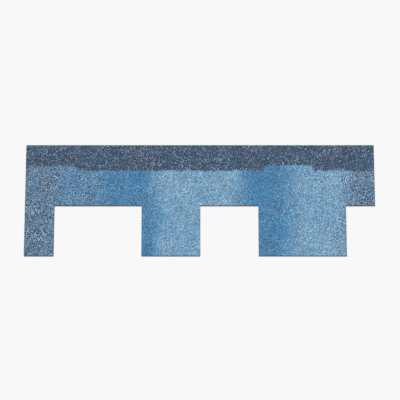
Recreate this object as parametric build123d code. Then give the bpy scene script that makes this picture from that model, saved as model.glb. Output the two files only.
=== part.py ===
"""Asphalt strip shingle: one flat die-cut sheet with square tabs along its lower edge, in millimetres.

The strip lies face up. X runs along the course, +Y points up the roof slope, towards the head lap, and
Z = 0 is the back, which lies on the roof deck. The origin is at the middle of the sheet's outer
rectangle.
"""

import os

from build123d import *

# Driving dimensions
STRIP_LENGTH = 1000.0
SHEET_THICKNESS = 3.0
TAB_DEPTH = 143.0  # also the part of each course that shows on the roof
HEAD_LAP = 31.0  # covered by two further courses
TAB_STEP = 83.3  # width of the narrowest tab, and what each further tab is wider than the last

# The strip is three equal modules, each one tab and, to its right, one notch
MODULE_COUNT = 3
MODULE_LENGTH = STRIP_LENGTH / MODULE_COUNT

# The uncut sheet above the tabs backs the notches of the next course, and the head lap comes on top
BODY_HEIGHT = TAB_DEPTH + HEAD_LAP
STRIP_HEIGHT = TAB_DEPTH + BODY_HEIGHT

LEFT_END = -STRIP_LENGTH / 2
RIGHT_END = STRIP_LENGTH / 2
TOP_EDGE = STRIP_HEIGHT / 2
TAB_ENDS = -STRIP_HEIGHT / 2
NOTCH_TOPS = TAB_ENDS + TAB_DEPTH


def module_corners(module):
    """Lower edge of one module, from left to right: its tab, then its notch."""
    tab_left = LEFT_END + module * MODULE_LENGTH
    tab_right = tab_left + (module + 1) * TAB_STEP
    notch_right = tab_left + MODULE_LENGTH
    return [
        (tab_left, TAB_ENDS),
        (tab_right, TAB_ENDS),
        (tab_right, NOTCH_TOPS),
        (notch_right, NOTCH_TOPS),
    ]


def shingle_strip():
    """The whole sheet: its outline, cut square through the thickness."""
    lower_edge = [corner for module in range(MODULE_COUNT) for corner in module_corners(module)]
    outline = [(LEFT_END, TOP_EDGE), *lower_edge, (RIGHT_END, TOP_EDGE)]
    face = make_face(Polyline(*outline, close=True))
    return extrude(face, amount=SHEET_THICKNESS, dir=(0, 0, 1))


os.makedirs("parts", exist_ok=True)
export_step(shingle_strip(), "parts/shingle_strip.step")
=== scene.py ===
"""Looks of the asphalt strip shingle: a coat of mineral granules on the face of its black asphalt sheet.

Lengths are in metres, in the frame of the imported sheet, which lies face up with its tabs towards -Y.
"""

import math

import bpy
import numpy as np
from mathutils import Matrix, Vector


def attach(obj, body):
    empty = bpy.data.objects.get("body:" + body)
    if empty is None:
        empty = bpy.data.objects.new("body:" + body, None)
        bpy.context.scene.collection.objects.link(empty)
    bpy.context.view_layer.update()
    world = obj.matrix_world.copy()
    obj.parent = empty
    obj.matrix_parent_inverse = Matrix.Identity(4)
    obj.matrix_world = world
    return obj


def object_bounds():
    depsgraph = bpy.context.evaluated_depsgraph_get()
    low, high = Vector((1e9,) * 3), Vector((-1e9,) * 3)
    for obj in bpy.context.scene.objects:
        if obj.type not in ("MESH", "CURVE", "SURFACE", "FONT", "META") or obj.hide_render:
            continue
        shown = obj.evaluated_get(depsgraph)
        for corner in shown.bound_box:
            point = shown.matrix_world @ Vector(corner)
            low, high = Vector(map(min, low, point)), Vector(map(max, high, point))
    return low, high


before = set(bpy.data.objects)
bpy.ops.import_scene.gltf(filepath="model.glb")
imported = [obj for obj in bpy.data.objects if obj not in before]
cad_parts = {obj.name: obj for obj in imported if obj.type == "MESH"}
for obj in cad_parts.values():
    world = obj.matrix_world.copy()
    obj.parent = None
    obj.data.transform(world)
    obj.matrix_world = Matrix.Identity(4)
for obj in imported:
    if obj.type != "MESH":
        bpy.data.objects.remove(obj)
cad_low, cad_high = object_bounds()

MM = 0.001
SAME_LINE = 0.01 * MM  # corners of the sheet nearer than this are on one line of its outline
RANDOM = np.random.default_rng(2506)

# Granules
GRANULE_WIDTH = 1.45 * MM  # mean size of the crushed stone, along the course
GRANULE_ROW = 1.26 * MM  # distance between rows
SIZE_SPREAD = 0.13  # how much a large granule pushes its neighbours away
CORNER_JITTER = 0.28 * MM
LOWEST_PEAK, HIGHEST_PEAK = 0.14 * MM, 0.52 * MM  # above the sheet
PEAK_DRIFT = 0.16 * MM  # how far a peak sits from its granule's middle
NEAREST_EDGE = 0.2 * MM  # how near a peak may come to an edge of its granule
CORNER_SHIFT = GRANULE_ROW / 6  # makes straight rows of corners into the zigzag of a honeycomb
LARGEST_PUSH = 2  # times SIZE_SPREAD
EASING = 0.8  # what a crowded granule keeps of its moves in each round
EASING_ROUNDS = 12
HIGHEST_SEAM = 0.05 * MM  # asphalt between the granules, above the sheet
SEAM_SHADE = 0.08 * MM  # height at which a granule is clear of the asphalt
SEAM_COLOUR = (0.012, 0.012, 0.013, 1.0)
GRANULE_ROUGHNESS = (0.75, 0.95)
GRANULE_GLOSS = 0.12
PIT_SIZE, PIT_DEPTH = 0.3 * MM, 0.05 * MM
CORNERS = 6  # of a granule
# the export bakes a mesh's colours through a map with this name
BAKE_MAP = "OFBake"  # the granules' own map, which lays them out as seen from above

# Tones of the granule blends: red, green and blue as they show on a screen, and how much lighter the
# lightest granule is than the darkest
SCREEN = 255.0
SCREEN_GAMMA = 2.2
DEEP = (81, 134, 175, 90)
PALE = (125, 166, 197, 116)
MEDIUM = (97, 137, 171, 127)
SLATE = (97, 125, 152, 152)
SHADOW = (79, 97, 119, 157)
DARKEST = (0.02, 0.02, 0.02)
RARITY = 2.0  # of light granules among dark ones
SHADOW_RARITY = 8.0
CONTRAST_CLOUD, CONTRAST_DRIFT = 40 * MM, 0.35  # patches where the granules differ more, or less
LIGHT_CLOUD, LIGHT_DRIFT = 45 * MM, 0.03  # patches that are lighter or darker as a whole
WARMTH = (0.034, -0.004, -0.03)  # colour of the warmest granules against their tone
WARMTH_CLOUD, WARMTH_DRIFT = 70 * MM, 0.65  # patches that are warmer or cooler as a whole
SHADOW_TINT = (0.945, 1.0, 1.07, 1.0)  # in the shadow band, lighter granules are bluer

# Where the blends drop along the strip, as shares of its length from the left end
BLEND = (
    (0.00, SLATE),
    (0.07, SLATE),
    (0.12, MEDIUM),
    (0.21, MEDIUM),
    (0.26, DEEP),
    (0.35, DEEP),
    (0.40, PALE),
    (0.59, PALE),
    (0.64, DEEP),
    (0.73, DEEP),
    (0.78, PALE),
    (0.90, PALE),
    (0.95, SLATE),
)
BLEND_DRIFT = 0.025  # how far a drop's edge wanders
BLEND_CLOUD = 120 * MM  # size of one such turn
BLEND_STRETCH = (1.0, 0.6, 1.0)
BLEND_DITHER = 0.02  # how far the granules of two drops mix

# Shadow band, which runs from a wavy line to the top edge
SHADOW_FOOT = 243 * MM  # above the tab ends
SHADOW_RISE = 15 * MM  # how much higher the foot is in some stretches
RISE_CLOUD = 170 * MM
RISE_FROM, RISE_TO = 0.05, 0.35  # parts of the cloud where a rise begins and is complete
SHADOW_WAVE, WAVE_CLOUD = 4 * MM, 70 * MM
SHADOW_RIPPLE, RIPPLE_CLOUD = 2 * MM, 14 * MM
SHADOW_DITHER = 2.2 * MM
ALONG_ONLY = (1.0, 0.0, 0.0)  # noise that changes along the strip alone
ALONG_MOSTLY = (1.0, 0.3, 0.0)

# Asphalt: cut edges with short glass fibres, and a sanded back
ASPHALT_GRAIN, ASPHALT_RELIEF = 0.5 * MM, 0.15 * MM
ASPHALT_ROUGHNESS = (0.55, 0.85)
CUT_ASPHALT, CUT_FIBRE = (0.006, 0.006, 0.007, 1.0), (0.07, 0.068, 0.063, 1.0)
FIBRE_SIZE, FIBRE_STRETCH = 3 * MM, (1.0, 1.0, 8.0)
FIBRE_FROM, FIBRE_TO = -0.2, 1.0  # parts of the noise where a fibre begins and is clear
BACK_ASPHALT, BACK_SAND = (0.014, 0.014, 0.015, 1.0), (0.15, 0.145, 0.135, 1.0)
SAND_CLOUDS = ((45 * MM, 0.15), (4 * MM, 0.35))  # sizes of the patches of denser sand, and how much denser
SAND_FROM, SAND_TO = -0.1, 0.8  # parts of the noise where sand begins and covers the asphalt
DOWNWARD = -0.5  # a face whose normal has less than this upward is the back

# Lamps
LAMP_DROP = Vector((0.33, -1.03, -1.0))  # from the upper left, as the shadows of the tab ends fall
LAMP_SHARE = 0.8  # of the light on the face, and the rest comes from the room
LAMP_SOFTNESS = math.radians(6)

# Camera
PICTURE_PIXELS = 400
METRES_PER_PIXEL = 2.86 * MM
CAMERA_DISTANCE = 2.0
CAMERA_LEAN = math.radians(5.6)  # towards the tabs, from straight above

FLOOR_SIDE = 40.0
FLOOR_ROUGHNESS = 0.9
PALE_GREY = (0.94, 0.94, 0.94, 1.0)
WHITE = (1.0, 1.0, 1.0, 1.0)


def distinct(values):
    """The different values among these lengths, in order."""
    values = np.sort(values)
    return values[np.diff(values, prepend=-np.inf) > SAME_LINE]


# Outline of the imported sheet, whose sides are all upright
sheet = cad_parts["shingle_strip"]
sheet_corners = np.array([corner.co for corner in sheet.data.vertices])
FACE_Z = cad_high.z
EDGE_X = distinct(sheet_corners[:, 0])
TAB_END_Y, NOTCH_TOP_Y, TOP_EDGE_Y = distinct(sheet_corners[:, 1])
at_tab_ends = np.isclose(sheet_corners[:, 1], TAB_END_Y)
TAB_SIDES_X = distinct(sheet_corners[at_tab_ends, 0]).reshape(-1, 2)


def lines_through(stops, pitch, multiple):
    """Lines about one pitch apart through every stop, with a multiple of so many steps between stops."""
    lines = []
    for low, high in zip(stops[:-1], stops[1:]):
        steps = multiple * round((high - low) / pitch / multiple)
        lines.append(np.linspace(low, high, steps, endpoint=False))
    return np.concatenate([*lines, stops[-1:]])


class Mosaic:
    """Rows of six-cornered granules, each row half a granule on from the last, that fill the outline.

    The corners are a grid. A granule is two columns wide and one row high, or one column wide where the
    outline cuts a shifted row.
    """

    def __init__(self):
        self.columns = lines_through(EDGE_X, GRANULE_WIDTH / 2, 2)
        self.lines = lines_through((TAB_END_Y, NOTCH_TOP_Y, TOP_EDGE_Y), GRANULE_ROW, 1)
        self.notch_line = int(np.argmin(abs(self.lines - NOTCH_TOP_Y)))
        self.tab_columns = [[self.column_at(x) for x in sides] for sides in TAB_SIDES_X]
        self.last_column = len(self.columns) - 1
        self.last_line = len(self.lines) - 1
        self.lay_granules()
        self.place_granules()

    def column_at(self, x):
        return int(np.argmin(abs(self.columns - x)))

    def cut_row(self, row, first, last):
        """Row, left column and right column of each granule between two outline columns."""
        cuts = np.unique([first, *range(first + row % 2, last + 1, 2), last])
        return [(row, left, right) for left, right in zip(cuts[:-1], cuts[1:])]

    def lay_granules(self):
        granules = []
        for row in range(self.notch_line):
            for first, last in self.tab_columns:
                granules += self.cut_row(row, first, last)
        for row in range(self.notch_line, self.last_line):
            granules += self.cut_row(row, 0, self.last_column)
        self.row, self.left, right = np.array(granules).T
        middle = self.left + (right - self.left) // 2
        below = self.row * (self.last_column + 1)
        above = below + self.last_column + 1
        ring = [below + self.left, below + middle, below + right]
        ring += [above + right, above + middle, above + self.left]
        self.rings = np.stack(ring, axis=1)

    def held_corners(self):
        """Corners on upright outline lines, which keep their x, and on level ones, which keep their y."""
        keep_x = np.zeros((self.last_line + 1, self.last_column + 1), bool)
        keep_x[self.notch_line :, [0, -1]] = True
        for sides in self.tab_columns:
            keep_x[: self.notch_line + 1, sides] = True
        keep_y = np.zeros_like(keep_x)
        keep_y[[0, -1]] = True
        notch_starts = [last for _, last in self.tab_columns]
        notch_ends = [first for first, _ in self.tab_columns[1:]] + [self.last_column]
        for start, end in zip(notch_starts, notch_ends):
            keep_y[self.notch_line, start : end + 1] = True
        return keep_x.ravel(), keep_y.ravel()

    def shuffle(self, x, y):
        """Random moves of the corners along X and Y, none of them off the outline."""
        line, column = np.divmod(np.arange(len(x)), self.last_column + 1)
        move_x = RANDOM.uniform(-CORNER_JITTER, CORNER_JITTER, len(x))
        move_y = RANDOM.uniform(-CORNER_JITTER, CORNER_JITTER, len(x))
        move_y += np.where((line - column) % 2 == 0, CORNER_SHIFT, -CORNER_SHIFT)

        # Large granules push their corners out, and small ones draw them in
        push = RANDOM.normal(0, 1, len(self.rings)).clip(-LARGEST_PUSH, LARGEST_PUSH) * SIZE_SPREAD
        middle_x = x[self.rings].mean(axis=1)
        middle_y = y[self.rings].mean(axis=1)
        for corner in self.rings.T:
            np.add.at(move_x, corner, push * (x[corner] - middle_x))
            np.add.at(move_y, corner, push * (y[corner] - middle_y))
        keep_x, keep_y = self.held_corners()
        return np.column_stack([np.where(keep_x, 0, move_x), np.where(keep_y, 0, move_y)])

    def crowded(self, corners, peaks):
        """Granules whose peak is too near to one of their edges, or past it."""
        ring = corners[self.rings]
        edge = np.roll(ring, -1, axis=1) - ring
        reach = peaks[:, None] - ring
        inside = edge[..., 0] * reach[..., 1] - edge[..., 1] * reach[..., 0]
        return (inside < NEAREST_EDGE * np.hypot(edge[..., 0], edge[..., 1])).any(axis=1)

    def place_granules(self):
        x, y = (axis.ravel() for axis in np.meshgrid(self.columns, self.lines))
        start = np.column_stack([x, y])
        move = self.shuffle(x, y)
        drift = RANDOM.uniform(-PEAK_DRIFT, PEAK_DRIFT, (len(self.rings), 2))

        def placed():
            corners = start + move
            return corners, corners[self.rings].mean(axis=1) + drift

        for _ in range(EASING_ROUNDS):
            tight = self.crowded(*placed())
            move[self.rings[tight]] *= EASING
            drift[tight] *= EASING
        corners, peaks = placed()

        at_outline = np.logical_or(*self.held_corners())
        seam = np.where(at_outline, 0, RANDOM.uniform(0, HIGHEST_SEAM, len(start)))
        height = RANDOM.uniform(LOWEST_PEAK, HIGHEST_PEAK, len(peaks))
        self.corners = np.column_stack([corners, FACE_Z + seam])
        self.peaks = np.column_stack([peaks, FACE_Z + height])
        self.shades = RANDOM.uniform(0, 1, (len(peaks), 3))


def granule_piece(name, mosaic, chosen):
    """A mesh of the chosen granules: for each, a fan of facets from its corners up to its peak."""
    used, rings = np.unique(mosaic.rings[chosen], return_inverse=True)
    rings = rings.reshape(-1, CORNERS)
    after = np.roll(rings, -1, axis=1)
    owners = np.broadcast_to(np.arange(len(rings))[:, None], rings.shape)
    real = rings != after
    owners = owners[real]
    facets = np.column_stack([rings[real], after[real], len(used) + owners])

    mesh = bpy.data.meshes.new(name)
    places = np.concatenate([mosaic.corners[used], mosaic.peaks[chosen]])
    mesh.vertices.add(len(places))
    mesh.vertices.foreach_set("co", places.astype(np.float32).ravel())
    mesh.loops.add(facets.size)
    mesh.loops.foreach_set("vertex_index", facets.astype(np.int32).ravel())
    mesh.polygons.add(len(facets))
    first_corners = np.arange(len(facets), dtype=np.int32) * facets.shape[1]
    mesh.polygons.foreach_set("loop_start", first_corners)
    mesh.update(calc_edges=True)

    # A granule is rounded up to its seams, which are creases
    ends = np.empty(2 * len(mesh.edges), np.int32)
    mesh.edges.foreach_get("vertices", ends)
    is_seam = (ends.reshape(-1, 2) < len(used)).all(axis=1)
    mesh.attributes.new("sharp_edge", "BOOLEAN", "EDGE").data.foreach_set("value", is_seam)

    shade = mesh.attributes.new("granule", "FLOAT_VECTOR", "FACE")
    shade.data.foreach_set("vector", mosaic.shades[chosen][owners].astype(np.float32).ravel())

    # Seen from above, the granules fill the map, and each keeps a few pixels of its own
    seen = (places[:, :2] - places[:, :2].min(axis=0)) / np.ptp(places[:, :2], axis=0)
    bake_map = mesh.uv_layers.new(name=BAKE_MAP, do_init=False)
    bake_map.uv.foreach_set("vector", seen[facets].astype(np.float32).ravel())

    piece = bpy.data.objects.new(name, mesh)
    bpy.context.scene.collection.objects.link(piece)
    return piece


def granule_coat():
    """The coat, in pieces that meet along the rough line between two granules."""
    mosaic = Mosaic()
    module_starts = [first for first, _ in mosaic.tab_columns]
    module_ends = [*module_starts[1:], mosaic.last_column]
    in_body = mosaic.row >= mosaic.notch_line
    pieces = []
    for place, start, end in zip(("left", "middle", "right"), module_starts, module_ends):
        in_module = (mosaic.left >= start) & (mosaic.left < end)
        pieces.append(granule_piece(f"granules_body_{place}", mosaic, in_module & in_body))
        pieces.append(granule_piece(f"granules_tab_{place}", mosaic, in_module & ~in_body))
    return pieces


NOISE_RANGE = (0.25, 0.75)  # where most of the noise texture's values lie


class Look:
    """A material under construction. Its methods add nodes and return their output sockets."""

    def __init__(self, name):
        self.material = bpy.data.materials.new(name)
        self.material.use_nodes = True
        self.shader = self.material.node_tree.nodes["Principled BSDF"]
        coordinates = self.add("ShaderNodeTexCoord").outputs
        self.place = coordinates["Object"]
        self.normal = coordinates["Normal"]

    def add(self, kind, *values, **settings):
        """A node with these settings, and with these values or sockets fed to its inputs in order."""
        node = self.material.node_tree.nodes.new(kind)
        for setting, value in settings.items():
            setattr(node, setting, value)
        for socket, value in zip(node.inputs, values):
            self.feed(socket, value)
        return node

    def feed(self, socket, value):
        if isinstance(value, bpy.types.NodeSocket):
            self.material.node_tree.links.new(value, socket)
        elif value is not None:
            socket.default_value = value

    def math(self, operation, *values):
        return self.add("ShaderNodeMath", *values, operation=operation).outputs[0]

    def vector(self, operation, *values):
        return self.add("ShaderNodeVectorMath", *values, operation=operation).outputs[0]

    def parts(self, socket):
        return self.add("ShaderNodeSeparateXYZ", socket).outputs

    def remap(self, value, low, high, to_low=0.0, to_high=1.0, steps="LINEAR"):
        node = self.add("ShaderNodeMapRange", value, low, high, to_low, to_high, interpolation_type=steps)
        return node.outputs["Result"]

    def cloud(self, size, reach, stretch=(1.0, 1.0, 1.0), detail=2.0):
        """Noise from about -reach to reach, in clouds of about this size, divided by the stretch."""
        place = self.vector("MULTIPLY", self.place, stretch)
        noise = self.add("ShaderNodeTexNoise", place, None, 1 / size, detail).outputs["Fac"]
        return self.remap(noise, *NOISE_RANGE, -reach, reach)

    def mix(self, factor, first, second):
        node = self.add("ShaderNodeMix", data_type="RGBA")
        self.feed(node.inputs["Factor"], factor)
        for socket, value in zip([s for s in node.inputs if s.type == "RGBA"], (first, second)):
            self.feed(socket, value)
        return next(s for s in node.outputs if s.type == "RGBA")

    def bump(self, height, depth):
        node = self.add("ShaderNodeBump")
        node.inputs["Distance"].default_value = depth
        self.feed(node.inputs["Height"], height)
        self.feed(self.shader.inputs["Normal"], node.outputs["Normal"])


def screen_value(tone):
    """A tone's red, green and blue and its spread, each as a share of full screen brightness."""
    return [level / SCREEN for level in tone]


def granule_look():
    look = Look("granules")
    x, y, z = look.parts(look.place)
    attribute = look.add("ShaderNodeAttribute", attribute_type="GEOMETRY", attribute_name="granule")
    lightness, mixing, finish = look.parts(attribute.outputs["Vector"])

    # Tone along the strip, with wandering edges between the drops
    along = look.remap(x, cad_low.x, cad_high.x)
    wander = look.cloud(BLEND_CLOUD, BLEND_DRIFT, stretch=BLEND_STRETCH)
    dither = look.remap(mixing, 0.0, 1.0, -BLEND_DITHER, BLEND_DITHER)
    along = look.math("ADD", along, look.math("ADD", wander, dither))
    ramp = look.add("ShaderNodeValToRGB", along)
    for place, _ in BLEND[2:]:
        ramp.color_ramp.elements.new(place)
    for stop, (place, tone) in zip(ramp.color_ramp.elements, BLEND):
        stop.position = place
        stop.color = screen_value(tone)

    # Shadow band along the head lap
    rise = look.cloud(RISE_CLOUD, 1.0, stretch=ALONG_ONLY, detail=0.0)
    rise = look.remap(rise, RISE_FROM, RISE_TO, 0.0, SHADOW_RISE, "SMOOTHERSTEP")
    wave = look.cloud(WAVE_CLOUD, SHADOW_WAVE, stretch=ALONG_ONLY)
    ripple = look.cloud(RIPPLE_CLOUD, SHADOW_RIPPLE, stretch=ALONG_MOSTLY)
    foot = look.math("ADD", rise, look.math("ADD", wave, ripple))
    above = look.math("SUBTRACT", y, look.math("ADD", foot, TAB_END_Y + SHADOW_FOOT))
    above = look.math("ADD", above, look.remap(mixing, 0.0, 1.0, -SHADOW_DITHER, SHADOW_DITHER))
    in_shadow = look.math("GREATER_THAN", above, 0.0)
    *shadow_tone, shadow_spread = screen_value(SHADOW)
    tone = look.mix(in_shadow, ramp.outputs["Color"], (*shadow_tone, 1.0))
    spread = look.remap(in_shadow, 0.0, 1.0, ramp.outputs["Alpha"], shadow_spread)
    rarity = look.remap(in_shadow, 0.0, 1.0, RARITY, SHADOW_RARITY)

    # Each granule is lighter or darker than its tone, and a little warmer or cooler
    lift = look.math("POWER", lightness, rarity)
    mean_lift = look.math("DIVIDE", 1.0, look.math("ADD", rarity, 1.0))
    patches = look.cloud(CONTRAST_CLOUD, CONTRAST_DRIFT)
    spread = look.math("MULTIPLY", spread, look.math("ADD", patches, 1.0))
    offset = look.math("MULTIPLY", look.math("SUBTRACT", lift, mean_lift), spread)
    offset = look.math("ADD", offset, look.cloud(LIGHT_CLOUD, LIGHT_DRIFT))
    tint = look.mix(in_shadow, WHITE, SHADOW_TINT)
    lit = look.vector("MULTIPLY_ADD", offset, tint, tone)
    warmth = look.remap(finish, 0.0, 1.0, -1.0, 1.0)
    warmth = look.math("ADD", warmth, look.cloud(WARMTH_CLOUD, WARMTH_DRIFT))
    shown = look.vector("MULTIPLY_ADD", warmth, WARMTH, lit)
    shown = look.vector("MAXIMUM", shown, DARKEST)
    stone = look.add("ShaderNodeGamma", shown, SCREEN_GAMMA).outputs["Color"]

    # Asphalt shows in the seams between them
    out_of_seam = look.remap(z, FACE_Z, FACE_Z + SEAM_SHADE, steps="SMOOTHSTEP")
    look.feed(look.shader.inputs["Base Color"], look.mix(out_of_seam, SEAM_COLOUR, stone))
    look.feed(look.shader.inputs["Roughness"], look.remap(finish, 0.0, 1.0, *GRANULE_ROUGHNESS))
    look.shader.inputs["Specular IOR Level"].default_value = GRANULE_GLOSS
    look.bump(look.cloud(PIT_SIZE, 1.0), PIT_DEPTH)
    return look.material


def asphalt_look():
    """Cut edges of black asphalt with short glass fibres, and a back dusted with fine sand."""
    look = Look("asphalt")
    grain = look.cloud(ASPHALT_GRAIN, 1.0, detail=4.0)
    fibres = look.cloud(FIBRE_SIZE, 1.0, stretch=FIBRE_STRETCH, detail=3.0)
    cut = look.mix(look.remap(fibres, FIBRE_FROM, FIBRE_TO), CUT_ASPHALT, CUT_FIBRE)
    cover = look.math("ADD", *(look.cloud(size, density) for size, density in SAND_CLOUDS))
    sand = look.remap(look.math("ADD", grain, cover), SAND_FROM, SAND_TO)
    back = look.mix(sand, BACK_ASPHALT, BACK_SAND)
    facing = look.parts(look.normal)[2]
    is_back = look.math("LESS_THAN", facing, DOWNWARD)
    look.feed(look.shader.inputs["Base Color"], look.mix(is_back, cut, back))
    look.feed(look.shader.inputs["Roughness"], look.remap(grain, -1.0, 1.0, *ASPHALT_ROUGHNESS))
    look.bump(grain, ASPHALT_RELIEF)
    return look.material


def floor():
    """A plain pale floor that the back of the sheet lies on."""
    side = FLOOR_SIDE / 2
    mesh = bpy.data.meshes.new("floor")
    corners = [(-side, -side), (side, -side), (side, side), (-side, side)]
    mesh.from_pydata([(x, y, cad_low.z) for x, y in corners], [], [(0, 1, 2, 3)])
    plane = bpy.data.objects.new("floor", mesh)
    bpy.context.scene.collection.objects.link(plane)
    look = Look("floor")
    look.shader.inputs["Base Color"].default_value = PALE_GREY
    look.shader.inputs["Roughness"].default_value = FLOOR_ROUGHNESS
    look.shader.inputs["Specular IOR Level"].default_value = 0.0
    mesh.materials.append(look.material)


def lamp():
    """One lamp that gives its share of a white face's light, and no more."""
    data = bpy.data.lights.new("lamp", "SUN")
    slope = -LAMP_DROP.normalized().z
    data.energy = LAMP_SHARE * math.pi / slope
    data.angle = LAMP_SOFTNESS
    light = bpy.data.objects.new("lamp", data)
    light.rotation_euler = LAMP_DROP.to_track_quat("-Z", "Y").to_euler()
    bpy.context.scene.collection.objects.link(light)


def room():
    """Even light for the rest of the share, in a room that looks white."""
    world = bpy.data.worlds.new("room")
    bpy.context.scene.world = world
    world.use_nodes = True
    tree = world.node_tree
    light = tree.nodes["Background"]
    light.inputs["Color"].default_value = WHITE
    light.inputs["Strength"].default_value = 1 - LAMP_SHARE
    seen = tree.nodes.new("ShaderNodeBackground")
    seen.inputs["Color"].default_value = PALE_GREY
    path = tree.nodes.new("ShaderNodeLightPath")
    sees = path.outputs["Is Camera Ray"]
    for kind in ("Is Glossy Ray", "Is Transmission Ray"):
        either = tree.nodes.new("ShaderNodeMath")
        either.operation = "MAXIMUM"
        tree.links.new(sees, either.inputs[0])
        tree.links.new(path.outputs[kind], either.inputs[1])
        sees = either.outputs[0]
    mix = tree.nodes.new("ShaderNodeMixShader")
    tree.links.new(sees, mix.inputs[0])
    tree.links.new(light.outputs[0], mix.inputs[1])
    tree.links.new(seen.outputs[0], mix.inputs[2])
    tree.links.new(mix.outputs[0], tree.nodes["World Output"].inputs["Surface"])


def camera():
    """Looks down on the face, a little from the side of the tabs."""
    data = bpy.data.cameras.new("camera")
    data.lens = data.sensor_width * CAMERA_DISTANCE / (PICTURE_PIXELS * METRES_PER_PIXEL)
    centre = (cad_low + cad_high) / 2
    back = Vector((0.0, -math.sin(CAMERA_LEAN), math.cos(CAMERA_LEAN)))
    eye = bpy.data.objects.new("camera", data)
    eye.location = centre + CAMERA_DISTANCE * back
    eye.rotation_euler = (-back).to_track_quat("-Z", "Y").to_euler()
    bpy.context.scene.collection.objects.link(eye)
    bpy.context.scene.camera = eye


camera()
lamp()
room()
floor()
bpy.context.scene.view_settings.view_transform = "Standard"

granules = granule_look()
for piece in granule_coat():
    piece.data.materials.append(granules)
    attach(piece, "root")

asphalt = asphalt_look()
for slot in sheet.material_slots:
    slot.material = asphalt
